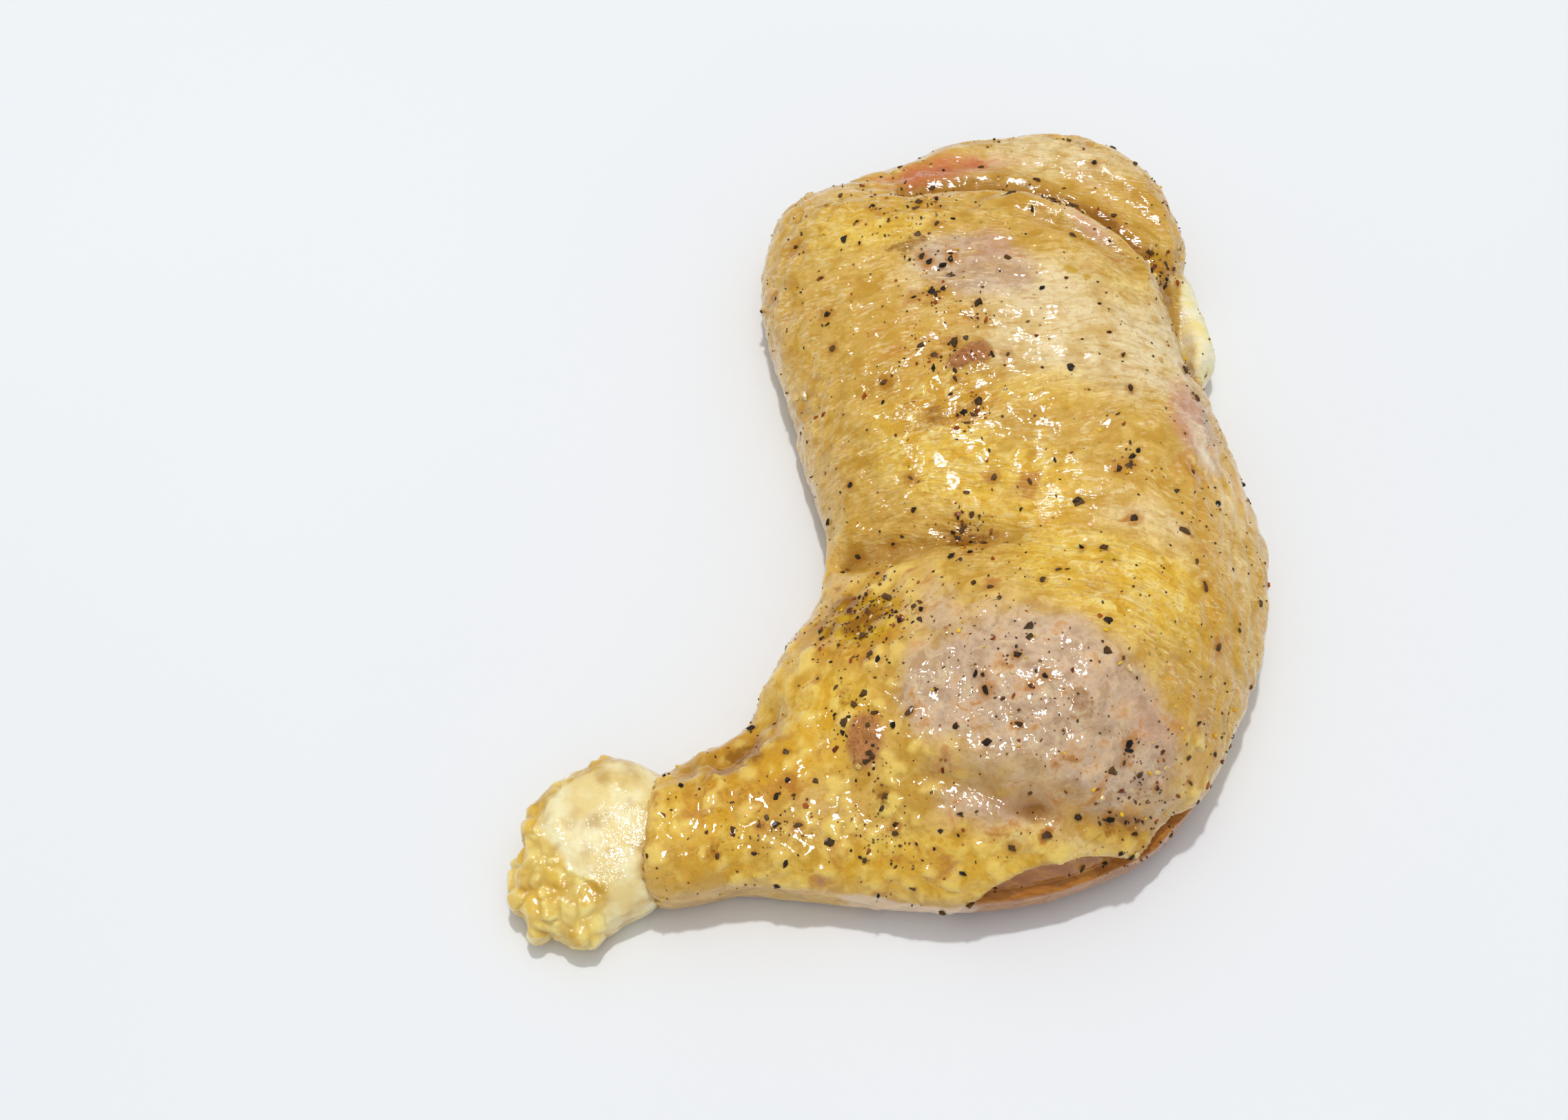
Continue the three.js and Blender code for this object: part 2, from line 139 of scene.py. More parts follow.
# Each fold is its depth, its width and its line seen from above; a ridge has a negative depth
ROLL_CREASE = [
    (4, 62), (12, 63), (20, 62.5), (27, 61.5), (33, 59), (38, 56), (43, 52), (47.5, 47.5),
]
ROLL_RIDGE = [(24, 55), (30, 53), (36, 50), (41, 47), (46, 43.5)]
RIDGE_CREASE = [(27, 50.5), (33, 48), (39, 44.6), (44, 41)]
FAT_CREASE = [(51.4, 43), (52.6, 39), (53.8, 35), (54.8, 30), (56, 25)]
KNEE_CREASE = [(-8, -14), (0, -14.6), (8, -14), (14, -13.8), (20, -15)]
CALF_CREASE = [(4, -59.6), (9, -61.4), (16, -63.6), (22, -65)]
CALF_VALLEY = [(22, -65), (30, -65.8), (38, -65.6), (47, -62.8)]
CALF_RIDGE = [(2, -55), (8, -57), (16, -59.4), (24, -60.6)]
WEB_CREASE = [(-36, -55), (-30, -54), (-25, -50), (-21, -44)]
CUFF_RIDGE = [(-34, -52), (-32, -58), (-31.4, -65), (-33, -72)]
FOLDS = [
    (2.8, 2.5, ROLL_CREASE), (-1.8, 2.2, ROLL_RIDGE), (1.0, 1.8, RIDGE_CREASE),
    (1.8, 2.4, FAT_CREASE), (1.8, 2.4, KNEE_CREASE), (1.5, 1.8, CALF_CREASE),
    (1.5, 2.6, CALF_VALLEY), (-0.9, 2.4, CALF_RIDGE), (1.6, 3.0, WEB_CREASE),
    (-1.0, 1.8, CUFF_RIDGE),
]

# The blister and its tail, the bruise and a wart, as humps; the first three are also coloured
LUMPS = [
    (14.4, 19.8, 2.2, 1.7, 1.5), (11.2, 18.2, 1.6, 1.1, 0.9), (-6.5, -53.5, 2.2, 3.4, 1.2),
    (11.1, -8.9, 1.6, 1.3, 0.9),
]
COLOURED_LUMPS = 3
# Grooves between the muscles on the side that lies down, as folds
UNDER_GROOVES = [
    (1.5, 3.2, [(-8, 56), (6, 40), (14, 22), (20, 4), (30, -14)]),
    (1.4, 3.2, [(44, 58), (36, 38), (30, 18), (30, -4)]),
    (1.6, 3.2, [(54, -20), (36, -34), (14, -46), (-12, -58), (-32, -63)]),
    (1.4, 3.2, [(50, -40), (30, -54), (6, -64), (-20, -68)]),
]
# Where the skin ends above the table, as humps whose height is the height of the skin's edge
BARE_MEAT = [
    (29, -76, 27, 14, 18), (44, -65, 22, 16, 13), (4, -80, 26, 9, 7), (14, 86, 38, 17, 8),
]


def smoothstep(value):
    t = np.clip(value, 0, 1)
    return t * t * (3 - 2 * t)


def bell(distance, width):
    return np.exp(-((distance / width) ** 2))


def smooth_outline(points):
    """A closed uniform Catmull-Rom curve through its control points, as a dense polygon."""
    p = np.array(points, float)
    before, after, beyond = np.roll(p, 1, 0), np.roll(p, -1, 0), np.roll(p, -2, 0)
    rows = []
    for t in np.arange(SPAN_STEPS) / SPAN_STEPS:
        rows.append(0.5 * (2 * p + (after - before) * t
                           + (2 * before - 5 * p + 4 * after - beyond) * t**2
                           + (3 * p - before - 3 * after + beyond) * t**3))
    return np.stack(rows, 1).reshape(-1, 2)


def distance_to_segments(x, y, points, closed=False):
    """The distance in plan from each (x, y) to a line through points."""
    p = np.array(points, float)
    ends = np.roll(p, -1, 0) if closed else p[1:]
    starts = p if closed else p[:-1]
    least = np.full(x.shape, np.inf)
    for (ax, ay), (bx, by) in zip(starts, ends):
        dx, dy = bx - ax, by - ay
        t = np.clip(((x - ax) * dx + (y - ay) * dy) / (dx * dx + dy * dy), 0, 1)
        np.minimum(least, np.hypot(x - ax - t * dx, y - ay - t * dy), out=least)
    return least


def depth_inside(x, y, polygon):
    """How far inside an outline each point lies, negative outside."""
    inside = np.zeros(x.shape, bool)
    for (ax, ay), (bx, by) in zip(polygon, np.roll(polygon, 1, 0)):
        if ay != by:
            inside ^= ((ay > y) != (by > y)) & (x < (bx - ax) * (y - ay) / (by - ay) + ax)
    return np.where(inside, 1, -1) * distance_to_segments(x, y, polygon, closed=True)


def hump_sum(x, y, humps):
    total = np.zeros(x.shape)
    for hx, hy, rx, ry, height in humps:
        total += height * np.exp(-(((x - hx) / rx) ** 2 + ((y - hy) / ry) ** 2) / 2)
    return total


def fold_relief(x, y, folds):
    total = np.zeros(x.shape)
    for depth, width, line in folds:
        total += depth * bell(distance_to_segments(x, y, line), width)
    return total


def skin_edge(x, y):
    """The height under which the skin is cut away, and zero where it wraps right round."""
    most = np.zeros(x.shape)
    for bx, by, rx, ry, height in BARE_MEAT:
        reach = ((x - bx) / rx) ** 2 + ((y - by) / ry) ** 2
        most = np.maximum(most, height * smoothstep(1 - reach))
    return most


def lobe_field(lobe, x, y, z):
    """How far outside a lobe each point is, about; x and y are grids in the plan, and the field
    has one more axis than they have, for the heights z."""
    depth = depth_inside(x, y, smooth_outline(lobe["outline"]))
    least, most, slope, start = lobe["rim_width"]
    width = np.clip(least + slope * (x - start), least, most)
    crown = lobe["crown"] + hump_sum(x, y, lobe["humps"])
    rim = lobe["rim"]
    above = np.maximum(0, 1 - depth / width)[..., None]
    below = np.maximum(0, 1 - depth / lobe["under_width"])[..., None]
    upper = z > rim
    half = np.where(upper, crown[..., None] - rim, rim - lobe["base"])
    return (np.hypot(np.where(upper, above, below), (z - rim) / half) - 1) * half


def soft_union(a, b):
    mix = np.maximum(BLEND - np.abs(a - b), 0) / BLEND
    return np.minimum(a, b) - mix * mix * BLEND / 4


def union_of(lobes, x, y, z):
    field = lobe_field(lobes[0], x, y, z)
    for lobe in lobes[1:]:
        field = soft_union(field, lobe_field(lobe, x, y, z))
    return field


def leg_field(x, y, z):
    body = union_of(LEG_LOBES, x, y, z)
    top = (fold_relief(x, y, FOLDS) - hump_sum(x, y, LUMPS))[..., None]
    edge = skin_edge(x, y)[..., None]
    bare = np.where(edge > LEAST_BARE, SKIN * smoothstep((edge - z) / SKIN_BEVEL + 0.5), 0)
    body = body + top * smoothstep((z - FOLDS_FROM) / FOLDS_FADE) + bare
    body = np.maximum(body, GAP - union_of(HOCK_LOBES, x, y, z))
    return np.maximum(body, fold_relief(x, y, UNDER_GROOVES)[..., None] - z)


def hock_field(x, y, z):
    return np.maximum(union_of(HOCK_LOBES, x, y, z), -z)


# Meshing

CORNERS = np.array([[c & 1, (c >> 1) & 1, (c >> 2) & 1] for c in range(8)])
EDGES = [(i, i | 1 << d) for i, c in enumerate(CORNERS) for d in range(3) if not c[d]]


def mesh_of(field, low, high, step):
    """A vertex in each cell that the zero surface crosses, and a quad round each crossed edge."""
    axes = [np.arange(a, b, step) for a, b in zip(low, high)]
    x, y = np.meshgrid(axes[0], axes[1], indexing="ij")
    values = field(x, y, axes[2])
    inside = values < 0
    shape = np.array(values.shape)
    cells = shape - 1
    count = np.zeros(cells, np.int8)
    for c in CORNERS:
        part = tuple(slice(c[d], c[d] + cells[d]) for d in range(3))
        count += inside[part]
    active = np.argwhere((count > 0) & (count < 8))
    corner_values = np.stack([values[tuple((active + c).T)] for c in CORNERS], 1)
    total = np.zeros((len(active), 3))
    number = np.zeros(len(active))
    for a, b in EDGES:
        va, vb = corner_values[:, a], corner_values[:, b]
        crossed = (va < 0) != (vb < 0)
        t = np.where(crossed, va / np.where(crossed, va - vb, 1), 0)
        point = CORNERS[a] + t[:, None] * (CORNERS[b] - CORNERS[a])
        total += point * crossed[:, None]
        number += crossed
    vertices = np.array(low) + (active + total / number[:, None]) * step
    index = np.full(cells, -1)
    index[tuple(active.T)] = np.arange(len(active))
    quads = []
    for d in range(3):
        u, v = np.eye(3, dtype=int)[(d + 1) % 3], np.eye(3, dtype=int)[(d + 2) % 3]
        here = tuple(slice(0, -1) if i == d else slice(None) for i in range(3))
        there = tuple(slice(1, None) if i == d else slice(None) for i in range(3))
        edge = np.argwhere(inside[here] != inside[there])
        edge = edge[(edge[:, (d + 1) % 3] > 0) & (edge[:, (d + 2) % 3] > 0)]
        ring = np.stack([index[tuple((edge - back).T)] for back in (0 * u, u, u + v, v)], 1)
        outward = inside[tuple(edge.T)]
        ring[~outward] = ring[~outward][:, ::-1]
        quads.append(ring)
    return vertices, np.concatenate(quads)


def smoothed(vertices, quads):
    """Alternate shrinking and swelling passes, which even out the mesh and keep its volume."""
    pairs = np.concatenate([quads[:, [i, (i + 1) % 4]] for i in range(4)])
    pairs = np.concatenate([pairs, pairs[:, ::-1]])
    number = np.bincount(pairs[:, 0], minlength=len(vertices))
    for weight in [SHRINK, SWELL] * SMOOTHING:
        mean = np.stack([np.bincount(pairs[:, 0], vertices[pairs[:, 1], d], len(vertices))
                         for d in range(3)], 1) / number[:, None]
        vertices = vertices + weight * (mean - vertices)
    return vertices


def surface_of(field, low, high, step):
    """A field's mesh, evened out, from a grid that reaches a little under the table."""
    vertices, quads = mesh_of(field, (*low, -CELLAR * step), high, step)
    return smoothed(vertices, quads), quads


def normals_of(vertices, quads):
    a, b, c, d = (vertices[quads[:, i]] for i in range(4))
    face = np.cross(c - a, d - b)
    total = np.zeros_like(vertices)
    for i in range(4):
        for axis in range(3):
            total[:, axis] += np.bincount(quads[:, i], face[:, axis], len(vertices))
    return total / np.maximum(np.linalg.norm(total, axis=1, keepdims=True), 1e-12)


# Repeatable noise, with a seed of its own for each use

def lattice(i, j, k, seed):
    """A hash of whole numbers to a value from 0 to 1."""
    h = (i * 374761393 + j * 668265263 + k * 2147483647 + seed * 974634777) & 0xFFFFFFFF
    h = ((h ^ (h >> 13)) * 1274126177) & 0xFFFFFFFF
    h = ((h ^ (h >> 16)) * 2246822519) & 0xFFFFFFFF
    return (h ^ (h >> 15)) / 4294967295.0


NOISE_GAIN = 1.9  # brings the noise to about the whole range from -1 to 1


def noise(points, scale, seed=0):
    """Smooth gradient noise from -1 to 1; scale is the size of a lump, in mm, for each axis."""
    p = points / np.array(scale, float)
    base = np.floor(p).astype(np.int64)
    t = p - base
    fade = t * t * t * (t * (t * 6 - 15) + 10)
    total = np.zeros(len(points))
    for c in CORNERS:
        slope = np.stack([lattice(*(base + c).T, seed + 31 * axis) for axis in range(3)], 1)
        slope = slope * 2 - 1
        total += np.prod(np.where(c, fade, 1 - fade), axis=1) * (slope * (t - c)).sum(1)
    return np.clip(NOISE_GAIN * total, -1, 1)


def fractal(points, scale, seed=0, octaves=3, gain=0.5):
    total, amount, reach = 0, 1.0, 0.0
    for n in range(octaves):
        total = total + amount * noise(points + 17.3 * n, np.array(scale, float) / 2**n, seed + n)
        reach += amount
        amount *= gain
    return total / reach


def cell_spots(points, size, seed=0):
    """Spots are scattered, one in each cell of the given size. Gives the distance to the nearest,
    how much farther the next one is, both in mm, and the nearest's own number from 0 to 1."""
    p = points / size
    base = np.floor(p).astype(np.int64)
    nearest = np.full(len(points), np.inf)
    second = np.full(len(points), np.inf)
    own = np.zeros(len(points))
    for shift in itertools.product((-1, 0, 1), repeat=3):
        cell = base + shift
        spot = cell + 0.15 + 0.7 * np.stack([lattice(*cell.T, seed + n) for n in range(3)], 1)
        distance = np.linalg.norm(p - spot, axis=1)
        closer = distance < nearest
        second = np.where(closer, nearest, np.minimum(second, distance))
        nearest = np.where(closer, distance, nearest)
        own = np.where(closer, lattice(*cell.T, seed + 3), own)
    return nearest * size, (second - nearest) * size, own


def ellipse(x, y, cx, cy, rx, ry, turn=0.0):
    """1 at the middle of an ellipse seen from above, 0 from its outline outwards."""
    c, s = math.cos(math.radians(turn)), math.sin(math.radians(turn))
    u = ((x - cx) * c + (y - cy) * s) / rx
    v = (-(x - cx) * s + (y - cy) * c) / ry
    return smoothstep(1.25 * (1 - np.sqrt(u * u + v * v)))


# The leg's skin

BOUNDARY = ((7.5, -21.5), (47.0, -47.5))  # from the yellow fat of the knee to the lilac calf
# How steeply the fine wrinkles run over the thigh, at several y
WRINKLE_SLOPE = ((-30, -0.25), (-8, -0.12), (8, 0.2), (28, 0.02), (60, -0.14), (80, -0.3))

# Areas of each colour or state: middle x and y, radii, turn in degrees, strength
CREAM_AREAS = [
    (34, 26, 29, 20, -4, 1.4), (6, 38, 9, 14, 0, 0.5), (42, -16, 15, 12, 0, 0.7),
    (32, 72, 26, 9, -12, 0.8), (20, -70, 20, 4.5, 0, 0.9), (-16, -62, 10, 6, 0, 0.4),
    (46, 20, 10, 14, 0, 0.5), (58, -14, 6, 20, 0, 0.6), (36, 49, 12, 3, -35, 0.8),
    (-14, -56, 12, 10, 0, 0.4),
]
YELLOW_AREAS = [
    (36, -26, 28, 17, -25, 1.2), (20, -6, 20, 12, 0, 0.9), (6, 6, 16, 16, 0, 1.2),
    (-4, 52, 20, 13, 0, 0.8), (42, 36, 12, 9, 0, 0.45), (-17, -50, 18, 20, -30, 1.1),
    (5, -72, 42, 7, 0, 0.9), (-33, -64, 14, 15, 0, 1.1), (26, 12, 20, 8, 0, 0.5),
]
GOLD_AREAS = [
    (8, 10, 13, 9, 5, 0.8), (26, 10, 20, 10, 0, 0.3), (-8, -31, 13, 12, -30, 1.7),
    (-18, -60, 18, 9, 0, 0.45), (38, -66.5, 15, 4, 0, 0.6), (54, -20, 8, 36, 0, 0.6),
    (41, 55, 13, 4.5, -38, 0.9), (24, 61, 13, 3.5, -3, 0.6), (0, -73, 30, 5, 0, 0.5),
    (-34, -72, 12, 7, 0, 0.6), (36, -22, 6, 4, 0, 0.7), (-2, 56, 15, 8, 0, 0.5),
    (14, 28, 6, 6, 0, 0.8), (30, -14, 14, 5, 0, 0.5), (50, -50, 9, 14, 20, 0.6),
    (34, -30, 12, 7, -20, 0.3), (-28, -56, 16, 13, 40, 1.4), (49, 62, 6, 10, 20, 0.5),
    (-8, -50, 14, 12, 0, 0.45), (0, 20, 12, 24, 0, 0.4),
]
BROWN_AREAS = [
    (14, 28, 3, 4, 0, 0.7), (9, 9, 11, 5, 10, 0.5), (-26, -50, 6, 4, 40, 0.6),
    (13, -14.3, 9, 2.4, 0, 1.1), (-3, -63.5, 3.8, 3.2, 0, 1.0), (29, -52, 4, 5, 0, 0.8),
    (38, -66.5, 10, 2.2, 0, 0.6), (-9, -28, 11, 9, -30, 0.9), (41, 54, 11, 3, -38, 1.2),
    (51.5, 43, 2.5, 6, 0, 0.9), (3, 45, 7, 4, 0, 0.9), (-12, 58, 10, 3, 0, 0.6),
    (7, -36.5, 4, 3, 0, 0.8), (-28, -54, 9, 4, 35, 0.8), (-30, -71, 9, 3, 0, 0.5),
    (30, -12, 5, 3, 0, 0.35), (51, -14, 2, 5, 0, 0.5), (56, 24, 2, 4, 0, 0.9),
    (-9, -44, 4, 3, 0, 0.5),
]
LILAC_AREAS = [
    (22, -48, 31, 22, -22, 1.3), (36, -56, 17, 13, 0, 0.9), (6, -47, 12, 10, 0, 0.8),
    (15, 40, 15, 10, -14, 1.9), (14, -65, 16, 4, -5, 0.8), (5, -30, 8, 9, 0, 0.5),
    (26, 30, 12, 7, 0, 0.3), (55, 9, 6, 13, 5, 1.6),
]
PINK_AREAS = [
    (18, 44, 10, 7, -10, 0.6), (52.5, 11, 5.5, 12, 5, 1.3), (36, 49, 11, 2.6, -35, 0.8),
    (14, 68, 20, 6, 12, 0.7), (12, -67, 15, 4, 0, 0.4), (-14, -66, 14, 5, 0, 0.35),
    (20, -7, 8, 3, 0, 0.4), (42, -52, 8, 7, 0, 0.5),
]
STAIN_AREAS = [
    (49, 47, 3.5, 6, -20, 1.0), (-7, -29, 12, 9, -30, 1.1), (36, -22, 4, 3, 0, 0.7),
    (32.5, 38, 2.4, 1.8, 0, 0.9), (35, 36.5, 1.6, 1.2, 0, 0.9), (-9, -46, 5, 4, 0, 0.5),
    (55.5, 28, 1.6, 9, 5, 0.6), (4, 56, 5, 3, 0, 0.6), (-2, 40, 4, 3, 0, 0.5),
]
FAT_AREAS = [(58.5, 37, 5.5, 15, 5, 2.0), (55, 6, 3.5, 10, 8, 0.35)]
FRINGE_AREAS = [(0, -77, 18, 5, 0, 1.6), (-20, -76, 8, 3, 0, 0.6)]
DRY_AREAS = [(26, -9, 26, 11, 0, 1.2), (50, -24, 14, 22, 10, 0.8), (58, 36, 8, 18, 0, 0.8)]


def line_side(x, y, line):
    """The distance in plan from a line, positive to the left of its direction."""
    (ax, ay), (bx, by) = line
    return ((bx - ax) * (y - ay) - (by - ay) * (x - ax)) / math.hypot(bx - ax, by - ay)


def area_sum(x, y, areas):
    return sum(strength * ellipse(x, y, cx, cy, rx, ry, turn)
               for cx, cy, rx, ry, turn, strength in areas)


def grain_of(p):
    """Coordinates along and across the skin's fine wrinkles, in mm."""
    heights, slopes = zip(*WRINKLE_SLOPE)
    slope = np.interp(p[:, 1], heights, slopes)
    sway = 1.8 * fractal(p, (16, 16, 16), 5)
    return np.stack([p[:, 0], p[:, 1] - slope * (p[:, 0] - 20) + sway, p[:, 2]], 1)


def plan_depth(x, y, lobes):
    """How far inside the outline of some lobe each point of the plan lies."""
    return np.max([depth_inside(x, y, smooth_outline(lobe["outline"])) for lobe in lobes], 0)


def crisp_ellipse(x, y, cx, cy, rx, ry):
    """1 inside an ellipse seen from above, with a narrow fall to 0 at its outline."""
    return smoothstep((1 - np.hypot((x - cx) / rx, (y - cy) / ry)) / 0.3)


def cover(pattern, share, softness):
    """Where a pattern from -1 to 1 shows, so that about this share of the area is covered."""
    return smoothstep((pattern + 2.0 * share - 1.0) / softness + 0.5)


def regions(p, normals):
    """What each point of the leg is, as values from 0 to 1."""
    x, y, z = p.T
    u = x + 2.2 * fractal(p, (8, 8, 8), 21)
    v = y + 2.2 * fractal(p, (8, 8, 8), 22)
    thigh = smoothstep((line_side(u, v, BOUNDARY) + 2) / 4)
    top = smoothstep((normals[:, 2] + 0.1) / 0.5)
    edge = skin_edge(x, y)
    torn = edge + 1.2 * fractal(p, (5, 5, 5), 31)
    bare = smoothstep((torn - z) / 0.8 + 0.5) * (edge > LEAST_BARE)
    rim = 10 + 4 * fractal(p, (14, 14, 14), 32)
    below = smoothstep((3.0 - z) / 1.5) * smoothstep((plan_depth(x, y, LEG_LOBES) - rim) / 1.5)
    knee = smoothstep((x - 46) / 9) * smoothstep((y + 58) / 10) * smoothstep((4 - y) / 10)
    lilac = np.clip(area_sum(u, v, LILAC_AREAS), 0, 1)
    lilac = lilac * np.where(y < 0, 1 - thigh, 1)
    cream = np.clip(area_sum(u, v, CREAM_AREAS), 0, 1)
    gold = 0.26 + 0.75 * area_sum(u, v, GOLD_AREAS) - 0.2 * lilac - 0.42 * cream * thigh
    return {
        "thigh": thigh,
        "meat": np.maximum(bare, below),
        "knee": knee,
        "lilac": lilac,
        "goose": (1 - thigh) * (1 - smoothstep(lilac / 0.9)) * top,
        "cream": cream,
        "yellow": np.clip(area_sum(u, v, YELLOW_AREAS), 0, 1),
        "pink": np.clip(area_sum(u, v, PINK_AREAS), 0, 1),
        "gold": np.clip(gold, -0.3, 1),
        "brown": np.clip(area_sum(u, v, BROWN_AREAS), 0, 1),
        "pool": np.clip(fold_relief(x, y, [f for f in FOLDS if f[0] > 0]) / 3, 0, 1) * top,
        "stain": np.clip(area_sum(u, v, STAIN_AREAS), 0, 1),
        "fat": np.clip(area_sum(u, v, FAT_AREAS), 0, 1) * smoothstep(z / 5),
        "fringe": np.clip(area_sum(x, y, FRINGE_AREAS), 0, 1) * smoothstep((13 - z) / 3),
        "dry": np.clip(area_sum(u, v, DRY_AREAS), 0, 1),
        "red": ellipse(u, v, 8.5, 68.5, 18, 6.5, 18),
        "bruise": sum(crisp_ellipse(x, y, hx, hy, 1.6 * rx, 1.6 * ry)
                      for hx, hy, rx, ry, _ in LUMPS[:COLOURED_LUMPS]),
    }


def skin_relief(p, masks, grain):
    """How far each point moves out along its normal, in mm, with the masks of what stands up
    and of what lies low."""
    lying = smoothstep((p[:, 2] - 1) / 4)
    lumpy = 0.6 * fractal(p, (12, 12, 12), 41, 2) + 0.35 * fractal(p, (4.5, 4.5, 4.5), 42, 2)
    lines = fractal(grain, (8, 2.4, 4), 43, 2)
    wrinkle = 0.35 - np.exp(-((lines / 0.22) ** 2))
    wrinkle = wrinkle * np.clip(0.7 + 0.9 * noise(p, (12, 12, 12), 44), 0.1, 1.5)
    sway = 2 * fractal(p, (9, 9, 9), 47)[:, None]
    upright = 0.4 - np.exp(-((noise(p + sway, (2.6, 12, 8), 45) / 0.35) ** 2))
    wander = np.stack([noise(p, (2.2, 2.2, 2.2), 52 + n) for n in range(3)], 1)
    distance, _, own = cell_spots(p + 1.1 * wander, 3.6, 51)
    pale = smoothstep((0.9 + 1.3 * own - distance) / 1.2 + 0.3) * (0.55 + 0.45 * own)
    glassy = 0.8 * fractal(p, (3.4, 3.4, 3.4), 55, 2) + 1.1 * fractal(p, (7, 7, 7), 58, 2)
    smooth_skin = masks["lilac"] * (1 - masks["thigh"])
    on_thigh = masks["thigh"] * (1 - masks["knee"])
    total = lumpy + 0.5 * on_thigh * wrinkle + 0.45 * masks["knee"] * upright
    total = total + 0.45 * masks["goose"] * pale + 0.6 * smooth_skin * glassy
    strands = fractal(p, (8, 2.5, 5), 56, 2)
    total = total * (1 - 0.6 * masks["meat"]) + 0.2 * masks["meat"] * strands
    total = total + 0.5 * masks["fringe"] * np.abs(fractal(p, (4, 4, 1.5), 57, 2))
    low = np.clip(-wrinkle * on_thigh - 0.8 * upright * masks["knee"], 0, 1)
    high = pale * masks["goose"]
    return total * lying, high, low


# Pieces and their attributes

def link(thing):
    bpy.context.scene.collection.objects.link(thing)


def add_mesh(name, vertices, faces):
    """A piece from points in the outlines' millimetres."""
    mesh = bpy.data.meshes.new(name)
    mesh.from_pydata(((vertices - CENTRE) * MM).tolist(), [], faces.tolist())
    mesh.shade_smooth()
    piece = bpy.data.objects.new(name, mesh)
    link(piece)
    return piece


def paint(piece, name, values):
    """Keeps a value or a vector for each vertex as an attribute of the mesh."""
    values = np.asarray(values, np.float32)
    kind, field = ("FLOAT", "value") if values.ndim == 1 else ("FLOAT_VECTOR", "vector")
    piece.data.attributes.new(name, kind, "POINT").data.foreach_set(field, values.ravel())


# Materials

def linear(red, green, blue):
    """A colour given as it looks on a screen, 0 to 255, as the renderer's linear light."""
    parts = [c / 255 for c in (red, green, blue)]
    light = [c / 12.92 if c <= 0.04045 else ((c + 0.055) / 1.055) ** 2.4 for c in parts]
    return (*light, 1)


class Shader:
    """A short way to write a material's nodes."""

    def __init__(self, name):
        self.material = bpy.data.materials.new(name)
        self.material.use_nodes = True
        self.tree = self.material.node_tree
        self.surface = self.tree.nodes["Principled BSDF"]
        self.place = self.node("ShaderNodeTexCoord").outputs["Object"]

    def node(self, kind, inputs=None, **settings):
        node = self.tree.nodes.new(kind)
        for key, value in settings.items():
            setattr(node, key, value)
        for key, value in (inputs or {}).items():
            self.put(node, key, value)
        return node

    def put(self, node, key, value):
        if isinstance(value, bpy.types.NodeSocket):
            self.tree.links.new(value, node.inputs[key])
        else:
            node.inputs[key].default_value = value

    def mask(self, name):
        return self.node("ShaderNodeAttribute", attribute_name=name).outputs["Fac"]

    def vector(self, name):
        return self.node("ShaderNodeAttribute", attribute_name=name).outputs["Vector"]

    def stretched(self, vector, sizes):
        """A vector divided by a size for each axis, all in the vector's own unit."""
        node = self.node("ShaderNodeVectorMath", {0: vector, 1: tuple(1 / s for s in sizes)},
                         operation="MULTIPLY")
        return node.outputs["Vector"]

    def noise(self, vector, sizes, detail=2.0, rough=0.5, distort=0.0):
        node = self.node("ShaderNodeTexNoise",
                         {"Vector": self.stretched(vector, sizes), "Scale": 1.0, "Detail": detail,
                          "Roughness": rough, "Distortion": distort})
        return node.outputs["Fac"]

    def math(self, operation, *values):
        node = self.node("ShaderNodeMath", dict(enumerate(values)), operation=operation)
        return node.outputs["Value"]

    def times(self, *values):
        product = values[0]
        for value in values[1:]:
            product = self.math("MULTIPLY", product, value)
        return product

    def step(self, value, low, high, bottom=0.0, top=1.0):
        """A smooth ramp of a value from low to high."""
        node = self.node("ShaderNodeMapRange",
                         {"Value": value, "From Min": low, "From Max": high, "To Min": bottom,
                          "To Max": top}, interpolation_type="SMOOTHSTEP")
        return node.outputs["Result"]

    def mix(self, factor, a, b):
        node = self.node("ShaderNodeMix", data_type="RGBA")
        self.put(node, "Factor", factor)
        self.put(node, 6, a)
        self.put(node, 7, b)
        return node.outputs[2]

    def bump(self, height, distance, strength=1.0, below=None):
        inputs = {"Height": height, "Distance": distance, "Strength": strength}
        if below is not None:
            inputs["Normal"] = below
        return self.node("ShaderNodeBump", inputs).outputs["Normal"]

    def finish(self, **inputs):
        for key, value in inputs.items():
            self.put(self.surface, key.replace("_", " "), value)
        return self.material


FLESH = {
    "Subsurface_Weight": 0.2, "Subsurface_Scale": 0.0007, "Subsurface_Radius": (1.0, 0.45, 0.22),
    "IOR": 1.4, "Specular_IOR_Level": 0.1, "Coat_Roughness": 0.04, "Coat_IOR": 1.4,
}


